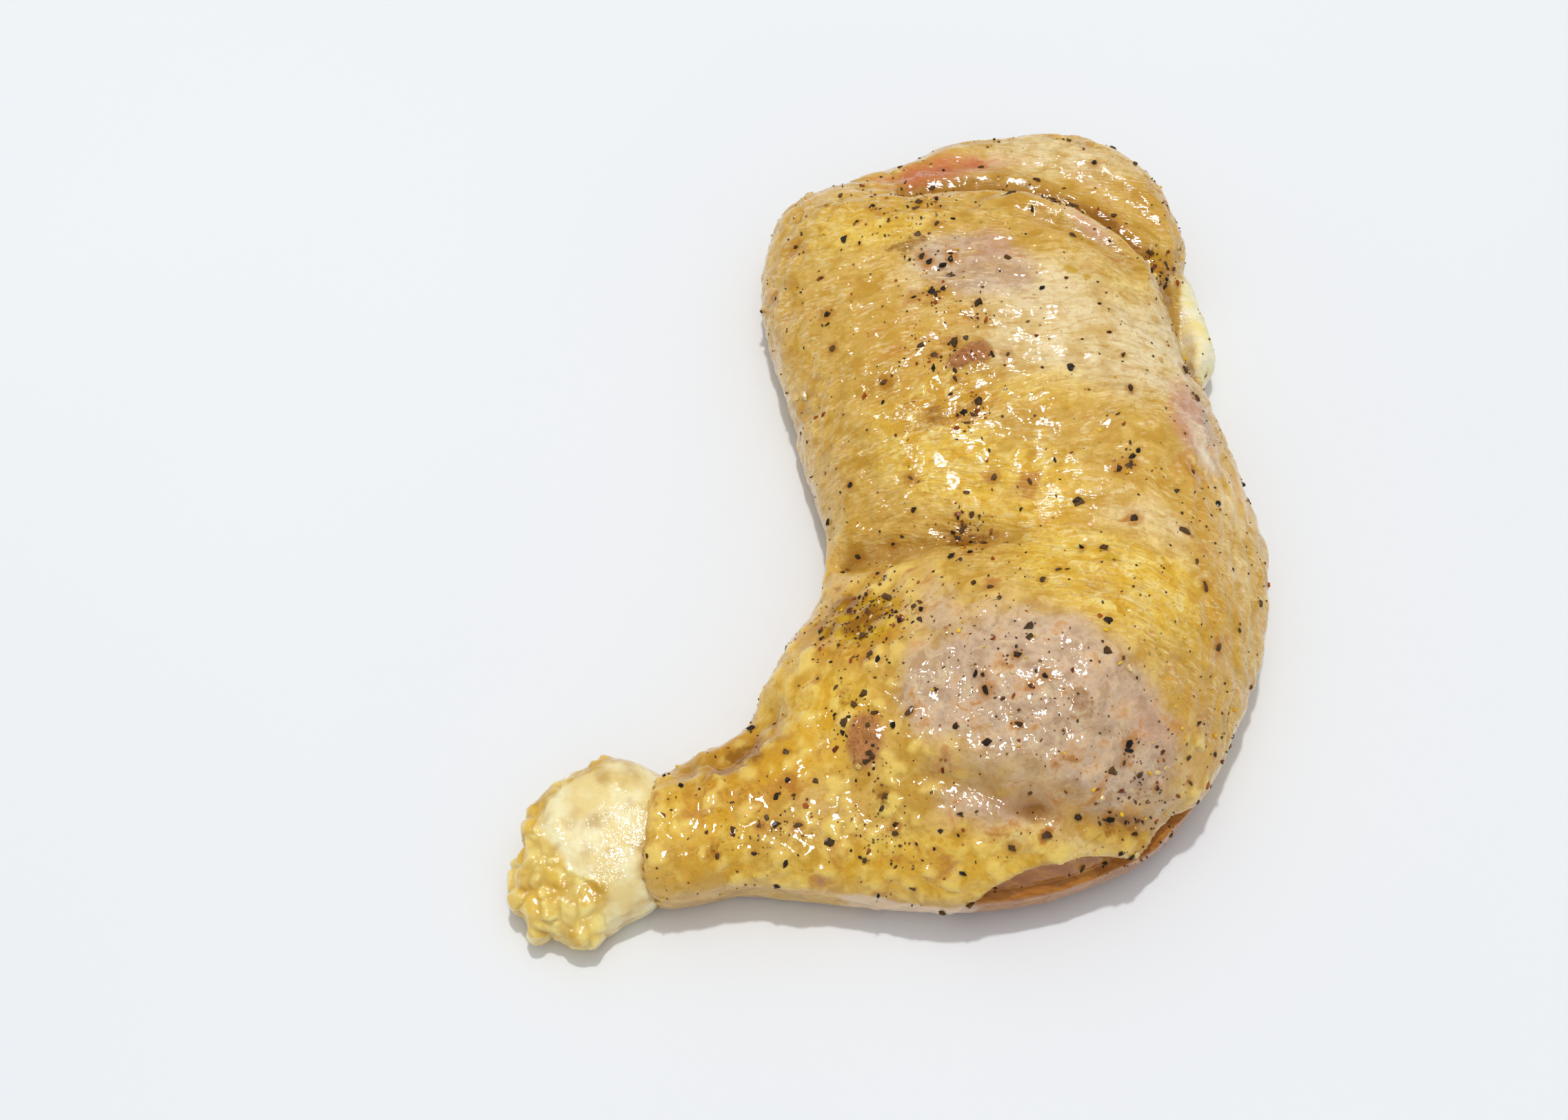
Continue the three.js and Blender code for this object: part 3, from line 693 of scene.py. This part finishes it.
def skin_colour(s, grain, p, fine, dashes, fibre):
    """The skin's colour and the bare meat's, from the painted masks and noises of several sizes."""
    thigh = s.mask("thigh")
    cloud = s.noise(p, (4.4, 4.4, 4.4), 3, 0.55, 0.5)
    streak = s.noise(grain, (7.0, 2.8, 4.0), 3, 0.55, 0.5)
    milk = s.noise(p, (2.9, 2.9, 2.9), 3, 0.6, 1.0)
    pores = s.noise(p, (0.75, 0.75, 0.75), 2, 0.6)
    drift = s.math("ADD", cloud, s.times(thigh, 0.5, s.math("SUBTRACT", streak, cloud)))
    ragged = s.math("ADD", s.times(s.math("SUBTRACT", drift, 0.5), 2.6),
                    s.times(s.math("SUBTRACT", fine, 0.5), 0.8))

    def broken(name, amount=0.5, low=0.3, high=0.7):
        """A mask with its edge broken up by the clouds and the fine noise."""
        return s.step(s.math("ADD", s.mask(name), s.times(ragged, amount)), low, high)

    def shades(dark, light, low=0.36, high=0.64, by=drift):
        """Two shades of one colour, in clouds unless another pattern is given."""
        return s.mix(s.step(by, low, high), linear(*dark), linear(*light))

    colour = shades((202, 154, 56), (234, 198, 110))
    colour = s.mix(s.times(broken("cream", 0.6, 0.0, 1.0), 0.85), colour,
                   shades((224, 192, 128), (248, 232, 188)))
    colour = s.mix(s.times(broken("yellow", 0.6, 0.1, 0.9), 0.85), colour,
                   shades((224, 170, 36), (252, 222, 104)))
    colour = s.mix(s.times(broken("lilac", 0.5, 0.0, 1.1), 0.9), colour,
                   shades((184, 154, 134), (218, 190, 162)))
    colour = s.mix(s.times(s.step(milk, 0.46, 0.7), s.mask("lilac"), 0.55), colour,
                   linear(232, 208, 166))
    colour = s.mix(s.times(broken("pink", 0.5, 0.1, 0.9), 0.6), colour, linear(216, 154, 128))
    colour = s.mix(s.times(broken("gold", 1.3, 0.15, 1.1), 0.88), colour,
                   shades((184, 124, 14), (214, 156, 36), by=fine))
    spots = s.times(s.step(milk, 0.5, 0.66), s.mask("yellow"), thigh, 0.6)
    colour = s.mix(spots, colour, linear(255, 236, 152))
    dash = s.times(s.step(dashes, 0.52, 0.7), thigh, 0.5)
    colour = s.mix(dash, colour, linear(196, 142, 44))
    ridges = s.times(s.step(fibre, 0.5, 0.66), s.step(cloud, 0.38, 0.6), thigh, 0.5)
    colour = s.mix(ridges, colour, linear(252, 234, 180))
    colour = s.mix(s.times(s.mask("low"), 0.4), colour, linear(186, 132, 36))
    colour = s.mix(s.times(s.step(pores, 0.54, 0.68), 0.3), colour, linear(182, 126, 40))
    colour = s.mix(s.times(s.mask("high"), 0.8), colour, linear(246, 214, 112))
    colour = s.mix(s.times(broken("fat", 0.35, 0.1, 0.7), 0.95), colour,
                   shades((250, 232, 160), (255, 250, 220)))
    colour = s.mix(s.times(broken("stain"), 0.75), colour, linear(200, 156, 0))
    colour = s.mix(s.times(broken("halo", 0.7, 0.3, 0.95), 0.7), colour, linear(182, 116, 16))
    colour = s.mix(s.times(broken("red", 0.8, 0.0, 1.2), 0.68), colour, linear(202, 92, 58))
    colour = s.mix(s.times(s.mask("pool"), 0.85), colour, linear(156, 100, 14))
    colour = s.mix(s.times(broken("brown", 1.1, 0.4, 1.1), 0.85), colour, linear(146, 92, 8))
    colour = s.mix(s.times(s.mask("bruise"), 0.9), colour,
                   shades((156, 96, 50), (190, 128, 78), by=fine))
    strands = s.noise(grain, (7, 1.4, 3), 2, 0.55, 0.5)
    meat = shades((162, 98, 32), (186, 124, 50), 0.35, 0.65, by=strands)
    colour = s.mix(s.step(s.mask("meat"), 0.35, 0.65), colour, meat)
    return s.mix(s.times(broken("fringe"), 0.8), colour, linear(230, 200, 166))


def skin_material():
    """Marinated skin under a film of wet, which is crinkled most over the calf."""
    s = Shader("wet_marinated_skin")
    grain, p, thigh = s.vector("grain"), s.vector("place_mm"), s.mask("thigh")
    fine = s.noise(p, (0.9, 0.9, 0.9), 3, 0.6)
    dashes = s.noise(grain, (4.5, 0.9, 3.0), 2.5, 0.55, 0.3)
    fibre = s.noise(grain, (2.0, 0.4, 1.4), 2, 0.5)
    lines = s.times(s.math("ADD", s.times(dashes, 2.0), fibre), thigh)
    relief = s.bump(lines, 0.0003, 0.6, s.bump(fine, 0.0004, 0.6))
    calf = s.times(s.mask("lilac"), s.math("SUBTRACT", 1.0, thigh))
    ripple = s.noise(p, (1.7, 1.7, 1.7), 2, 0.5)
    crinkle = s.noise(p, (3.6, 3.6, 3.6), 2, 0.45)
    film = s.bump(ripple, 0.0004, 0.22)
    film = s.bump(crinkle, 0.001, s.step(calf, 0, 1, 0.06, 0.8), film)
    film = s.bump(s.times(dashes, thigh), 0.0002, 0.8, film)
    return s.finish(**FLESH, Base_Color=skin_colour(s, grain, p, fine, dashes, fibre),
                    Roughness=s.step(fine, 0.3, 0.7, 0.3, 0.55), Normal=relief, Coat_Normal=film,
                    Coat_Weight=s.step(s.mask("dry"), 0, 1, 1.0, 0.25))


def hock_material():
    s = Shader("waxy_hock")
    p = s.vector("place_mm")
    blotch = s.noise(p, (6, 6, 6), 3, 0.6)
    fine = s.noise(p, (0.8, 0.8, 0.8), 3, 0.6)
    colour = s.mix(s.step(blotch, 0.35, 0.65), linear(238, 214, 146), linear(250, 238, 190))
    colour = s.mix(s.times(s.mask("scaly"), 0.9), colour,
                   s.mix(s.step(blotch, 0.4, 0.6), linear(236, 194, 78), linear(250, 226, 132)))
    colour = s.mix(s.times(s.mask("groove"), 0.5), colour, linear(206, 156, 44))
    colour = s.mix(s.times(s.mask("marinade"), 0.6), colour, linear(184, 132, 36))
    relief = s.bump(fine, 0.00025, 0.6)
    film = s.bump(s.noise(p, (1.6, 1.6, 1.6), 3, 0.55), 0.0004, 0.6)
    return s.finish(Base_Color=colour, Roughness=s.step(fine, 0.3, 0.7, 0.3, 0.5), Normal=relief,
                    Coat_Normal=film, Coat_Weight=1.0, **FLESH)


# The leg

def make_leg():
    vertices, quads = surface_of(leg_field, LEG_LOW, LEG_HIGH, STEP)
    normals = normals_of(vertices, quads)
    grain = grain_of(vertices)
    masks = regions(vertices, normals)
    relief, high, low = skin_relief(vertices, masks, grain)
    vertices = vertices + normals * relief[:, None]
    vertices[:, 2] = np.maximum(vertices[:, 2], 0)
    spices = spice_places(vertices, normals_of(vertices, quads))
    leg = add_mesh("leg_flesh", vertices, quads)
    for name, values in masks.items():
        paint(leg, name, values)
    paint(leg, "high", high)
    paint(leg, "low", low)
    paint(leg, "halo", halo_of(vertices, *spices["black_pepper"][::2]))
    paint(leg, "grain", grain)
    paint(leg, "place_mm", vertices)
    leg.data.materials.append(skin_material())
    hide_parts("leg")
    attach(leg, "root")
    for name, (places, ups, sizes) in spices.items():
        scatter(name, places, ups, sizes)


# Scattered spices

PEPPER_CLUSTERS = [  # middle x and y, spread
    (7, 33, 3), (15.6, 30, 2.5), (31, 56, 3), (5, 54, 8), (8, 40, 4), (7, 20, 4), (12.6, 8, 3),
    (40, -2, 3), (12, -12.4, 3), (-5, -29, 6), (-5, -31, 8), (-9, -50, 4), (-6, -57.5, 3),
    (-3, -69, 4), (-24, -66, 5), (38, -62, 6), (50, 47, 3), (17, -46, 10),
]
SPICES = {  # piece name: count, least and most size in mm, flatness, sunk share, unevenness
    "black_pepper": (440, 0.4, 1.6, 0.5, 0.3, 0.42),
    "chilli": (210, 0.4, 1.3, 0.45, 0.25, 0.42),
    "mustard_grain": (110, 0.4, 1.0, 0.8, 0.2, 0.12),
    "garlic": (40, 0.7, 2.0, 0.5, 0.3, 0.2),
    "fine_pepper": (1500, 0.2, 0.6, 0.7, 0.2, 0.4),
}
CLUSTERED = 0.5  # share of the spices that lie in the clusters
SPICE_SEED = 4
LOWEST_SPICE = 2.5  # height of the lowest spices
LEAST_FACING = -0.05  # how far up the skin faces at least where they lie, 1 for straight up
SMALL_SHARE = 1.8  # power that makes small spices more common than large ones
CHIP_LENGTH = 1.1  # a chip's length, breadth and thickness, for its size
CHIP_BREADTH = (0.45, 1.0)
CHIP_THICKNESS = (0.7, 1.2)  # multiplied by its kind's flatness
STAINED = 0.5  # share of the pepper flakes with a stain round them
STAIN_SEED = 8
LEAST_STAINING = 0.7  # size from which a flake may have one
STAIN_RADIUS = (0.9, 2.6)

# The flakes that the solid has too
FLAKE = {
    "count": 60, "least": 1.2, "most": 2.1, "spacing": 3.6, "margin": 4, "clustered": 0.6,
    "seed": 11,
}
FLAKE_AREA = {"x": (-30, 62), "y": (-72, 78)}
FLAKE_FACING = 0.2  # how far up the skin faces at least where they lie
FACTOR, ADDEND, RANGE = 1664525, 1013904223, 4294967296  # of the solid's repeatable numbers


def between(limits, share):
    return limits[0] + (limits[1] - limits[0]) * share


def random_from(seed):
    """A draw of the same numbers from 0 to 1 that place the solid's own flakes."""
    state = seed

    def draw():
        nonlocal state
        state = (state * FACTOR + ADDEND) % RANGE
        return state / RANGE

    return draw


def solid_flakes():
    """The places in the plan and the sizes of the flakes that the solid has."""
    draw = random_from(FLAKE["seed"])
    placed = []
    while len(placed) < FLAKE["count"]:
        if draw() > FLAKE["clustered"]:
            x, y = between(FLAKE_AREA["x"], draw()), between(FLAKE_AREA["y"], draw())
        else:
            cx, cy, spread = PEPPER_CLUSTERS[math.floor(len(PEPPER_CLUSTERS) * draw())]
            x = cx + spread * (draw() + draw() + draw() - 1.5)
            y = cy + spread * (draw() + draw() + draw() - 1.5)
        here = np.array([x]), np.array([y])
        if (plan_depth(*here, LEG_LOBES)[0] > FLAKE["margin"]
                and plan_depth(*here, HOCK_LOBES)[0] < -FLAKE["margin"]
                and all(math.hypot(px - x, py - y) > FLAKE["spacing"] for px, py in placed)):
            placed.append((x, y))
    sizes = []
    for _ in placed:
        sizes.append(between((FLAKE["least"], FLAKE["most"]), draw() ** 2))
        for _ in range(3):  # the squash and the turn, which are drawn after the size
            draw()
    return np.array(placed), np.array(sizes)


def spice_spots(vertices, normals, count, random):
    """Places and normals on the skin, some in clusters and the rest anywhere."""
    good = np.flatnonzero((vertices[:, 2] > LOWEST_SPICE) & (normals[:, 2] > LEAST_FACING))
    near = np.zeros(len(good))
    for cx, cy, spread in PEPPER_CLUSTERS:
        distance = np.hypot(vertices[good, 0] - cx, vertices[good, 1] - cy)
        near += np.exp(-((distance / spread) ** 2)) / spread
    weight = (1 - CLUSTERED) / len(good) + CLUSTERED * near / near.sum()
    chosen = good[random.choice(len(good), count, replace=False, p=weight)]
    return vertices[chosen], normals[chosen]


def unit_chip():
    """An icosahedron's corners and faces."""
    golden = (1 + math.sqrt(5)) / 2
    corners = [(-1, golden, 0), (1, golden, 0), (-1, -golden, 0), (1, -golden, 0),
               (0, -1, golden), (0, 1, golden), (0, -1, -golden), (0, 1, -golden),
               (golden, 0, -1), (golden, 0, 1), (-golden, 0, -1), (-golden, 0, 1)]
    faces = [(0, 11, 5), (0, 5, 1), (0, 1, 7), (0, 7, 10), (0, 10, 11), (1, 5, 9), (5, 11, 4),
             (11, 10, 2), (10, 7, 6), (7, 1, 8), (3, 9, 4), (3, 4, 2), (3, 2, 6), (3, 6, 8),
             (3, 8, 9), (4, 9, 5), (2, 4, 11), (6, 2, 10), (8, 6, 7), (9, 8, 1)]
    return np.array(corners) / math.hypot(1, golden), np.array(faces)


def scatter(name, places, normals, sizes):
    """One mesh of chips that lie on the skin, each sunk by a share of its thickness."""
    random = np.random.default_rng(len(places))
    flatness, sunk, uneven = SPICES[name][3:]
    corners, faces = unit_chip()
    points, all_faces, tones = [], [], []
    for n, (place, normal, size) in enumerate(zip(places, normals, sizes)):
        along = np.cross(normal, random.normal(size=3))
        along /= np.linalg.norm(along)
        across = np.cross(normal, along)
        thick = flatness * random.uniform(*CHIP_THICKNESS)
        half = size / 2 * np.array([CHIP_LENGTH, random.uniform(*CHIP_BREADTH), thick])
        chip = (corners + uneven * random.uniform(-1, 1, corners.shape)) * half
        lift = half[2] * (1 - 2 * sunk)
        points.append(place + chip @ np.array([along, across, normal]) + normal * lift)
        all_faces.append(faces + len(corners) * n)
        tones.append(np.full(len(corners), random.uniform()))
    piece = add_mesh(name, np.concatenate(points), np.concatenate(all_faces))
    piece.data.polygons.foreach_set("use_smooth", np.zeros(len(piece.data.polygons), bool))
    paint(piece, "tone", np.concatenate(tones))
    piece.data.materials.append(spice_material(name))
    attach(piece, "root")


SPICE_COLOURS = {
    "black_pepper": ((24, 16, 8), (96, 66, 30), 0.5),
    "fine_pepper": ((48, 30, 14), (140, 90, 36), 0.5),
    "chilli": ((92, 34, 10), (164, 82, 24), 0.35),
    "mustard_grain": ((214, 160, 6), (240, 200, 50), 0.35),
    "garlic": ((206, 172, 98), (232, 208, 150), 0.4),
}


def spice_material(name):
    dark, light, rough = SPICE_COLOURS[name]
    s = Shader(name)
    speck = s.noise(s.place, (0.0004, 0.0004, 0.0004), 3, 0.6)
    tone = s.math("ADD", s.times(s.mask("tone"), 0.7), s.times(speck, 0.6))
    colour = s.mix(s.step(tone, 0.3, 1.0), linear(*dark), linear(*light))
    return s.finish(Base_Color=colour, Roughness=s.step(speck, 0.3, 0.7, rough, rough + 0.25),
                    Normal=s.bump(speck, 0.0001, 0.6), Specular_IOR_Level=0.15, Coat_Weight=0.15,
                    Coat_Roughness=0.1)


def spice_places(vertices, normals):
    """For each kind its places, the skin's directions there and its sizes."""
    random = np.random.default_rng(SPICE_SEED)
    flakes, flake_sizes = solid_flakes()
    above = np.flatnonzero(normals[:, 2] > FLAKE_FACING)
    nearest = [above[np.argmin(np.hypot(*(vertices[above, :2] - flake).T))] for flake in flakes]
    found = {}
    for name, (count, least, most, *_) in SPICES.items():
        places, ups = spice_spots(vertices, normals, count, random)
        sizes = between((least, most), random.random(count) ** SMALL_SHARE)
        if name == "black_pepper":
            places = np.concatenate([vertices[nearest], places])
            ups = np.concatenate([normals[nearest], ups])
            sizes = np.concatenate([flake_sizes, sizes])
        found[name] = places, ups, sizes
    return found


def halo_of(vertices, places, sizes):
    """Where the marinade has stained the skin round some of the larger flakes."""
    random = np.random.default_rng(STAIN_SEED)
    halo = np.zeros(len(vertices))
    stained = random.random(len(places)) < STAINED
    for place in places[(sizes > LEAST_STAINING) & stained]:
        apart = ((vertices - place) ** 2).sum(1)
        halo = np.maximum(halo, np.exp(-apart / random.uniform(*STAIN_RADIUS) ** 2))
    return halo


# The hock knob

def make_hock():
    vertices, quads = surface_of(hock_field, HOCK_LOW, HOCK_HIGH, HOCK_STEP)
    normals = normals_of(vertices, quads)
    x, y, z = vertices.T
    pad = depth_inside(x, y, smooth_outline(HOCK_PAD["outline"]))
    edge = 1.5 * fractal(vertices, (6, 6, 6), 61)
    scaly = smoothstep((3.5 - pad + edge) / 1.5) * smoothstep((-48 - x) / 4)
    wander = np.stack([noise(vertices, (2.5, 2.5, 2.5), 64 + n) for n in range(3)], 1)
    _, margin, own = cell_spots(vertices * (1, 1, 0.6) + 0.8 * wander, 3.6, 63)
    plate = smoothstep(margin / 1.3)
    groove = (1 - plate) * scaly
    relief = scaly * (0.55 * plate * (0.5 + own) + 0.9 * fractal(vertices, (9, 5, 5), 67, 2))
    relief = relief + (0.3 + 0.3 * scaly) * fractal(vertices, (6, 6, 6), 62, 3)
    vertices = vertices + normals * (relief * smoothstep((z - 0.5) / 2))[:, None]
    vertices[:, 2] = np.maximum(vertices[:, 2], 0)
    wet = 1.8 * fractal(vertices, (5, 5, 5), 66, 3)
    marinade = cover(wet, 0.25 + 0.5 * ellipse(x, y, -50, -52, 12, 5), 1.2)
    hock = add_mesh("hock_knob", vertices, quads)
    paint(hock, "scaly", scaly)
    paint(hock, "groove", groove)
    paint(hock, "marinade", marinade)
    paint(hock, "place_mm", vertices)
    hock.data.materials.append(hock_material())
    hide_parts("hock")
    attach(hock, "root")


# The studio

LENS, SENSOR = 60.0, 36.0  # millimetres
ELEVATION = math.radians(62)
CAMERA_DISTANCE = 485.0  # from the target, in millimetres
TARGET = np.array([-20.0, -5.0, 0.0])  # the point of the table at the middle of the frame
AIM = Vector((TARGET - CENTRE) * MM)
ROOM_LIGHT, ROOM_MIRRORED = 0.58, 0.15  # strength of the room, and where wet skin mirrors it
TABLE_HALF, TABLE_DROP = 1.5, 0.0002  # metres

# For each lamp its place and size in metres, its power in watts, whether it lights the surfaces
# and whether the wet ones mirror it
LAMPS = {
    "key": ((-0.02, 0.14, 1.2), 0.05, 5.8, True, False),
    "soft_top": ((0.0, 0.05, 1.3), 0.7, 1.9, True, False),
    "back_window": ((-0.05, 0.34, 1.1), 0.09, 5.0, False, True),
    "top_window": ((0.0, -0.1, 1.1), 0.19, 11.0, False, True),
    "left_window": ((-0.7, 0.2, 0.8), 0.11, 2.5, False, True),
    "near_window": ((-0.1, -0.6, 0.9), 0.14, 3.0, False, True),
}


def make_camera():
    back = Vector((0, -math.cos(ELEVATION), math.sin(ELEVATION)))
    data = bpy.data.cameras.new("camera")
    data.lens, data.sensor_width = LENS, SENSOR
    data.clip_start = 0.01
    camera = bpy.data.objects.new("camera", data)
    camera.location = AIM + back * CAMERA_DISTANCE * MM
    camera.rotation_euler = back.to_track_quat("Z", "Y").to_euler()
    link(camera)
    bpy.context.scene.camera = camera


def make_lamp(name, place, size, power, lights, mirrored):
    lamp = bpy.data.lights.new(name, "AREA")
    lamp.energy, lamp.size = power, size
    holder = bpy.data.objects.new(name, lamp)
    holder.location = place
    holder.rotation_euler = (AIM - Vector(place)).to_track_quat("-Z", "Y").to_euler()
    holder.visible_diffuse, holder.visible_glossy = lights, mirrored
    link(holder)


def make_room():
    """The room lights the meat from all round, but is dim where the wet skin mirrors it."""
    world = bpy.data.worlds.new("studio")
    world.use_nodes = True
    nodes, links = world.node_tree.nodes, world.node_tree.links
    room = nodes["Background"]
    room.inputs["Color"].default_value = (0.95, 0.97, 1.0, 1)
    rays = nodes.new("ShaderNodeLightPath")
    strength = nodes.new("ShaderNodeMapRange")
    strength.inputs["To Min"].default_value = ROOM_LIGHT
    strength.inputs["To Max"].default_value = ROOM_MIRRORED
    links.new(rays.outputs["Is Glossy Ray"], strength.inputs["Value"])
    links.new(strength.outputs["Result"], room.inputs["Strength"])
    bpy.context.scene.world = world
    bpy.context.scene.view_settings.view_transform = "Standard"


def make_table():
    corners = [(-TABLE_HALF, -TABLE_HALF), (TABLE_HALF, -TABLE_HALF), (TABLE_HALF, TABLE_HALF),
               (-TABLE_HALF, TABLE_HALF)]
    mesh = bpy.data.meshes.new("table_top")
    mesh.from_pydata([(x, y, -TABLE_DROP) for x, y in corners], [], [(0, 1, 2, 3)])
    table = bpy.data.objects.new("table_top", mesh)
    link(table)
    s = Shader("white_table")
    tint = s.noise(s.place, (0.2, 0.2, 0.2), 2)
    white = s.mix(tint, linear(232, 234, 236), linear(238, 240, 242))
    mesh.materials.append(s.finish(Base_Color=white, Roughness=0.5, Specular_IOR_Level=0.0))


make_leg()
make_hock()
make_camera()
for lamp_name, settings in LAMPS.items():
    make_lamp(lamp_name, *settings)
make_room()
make_table()
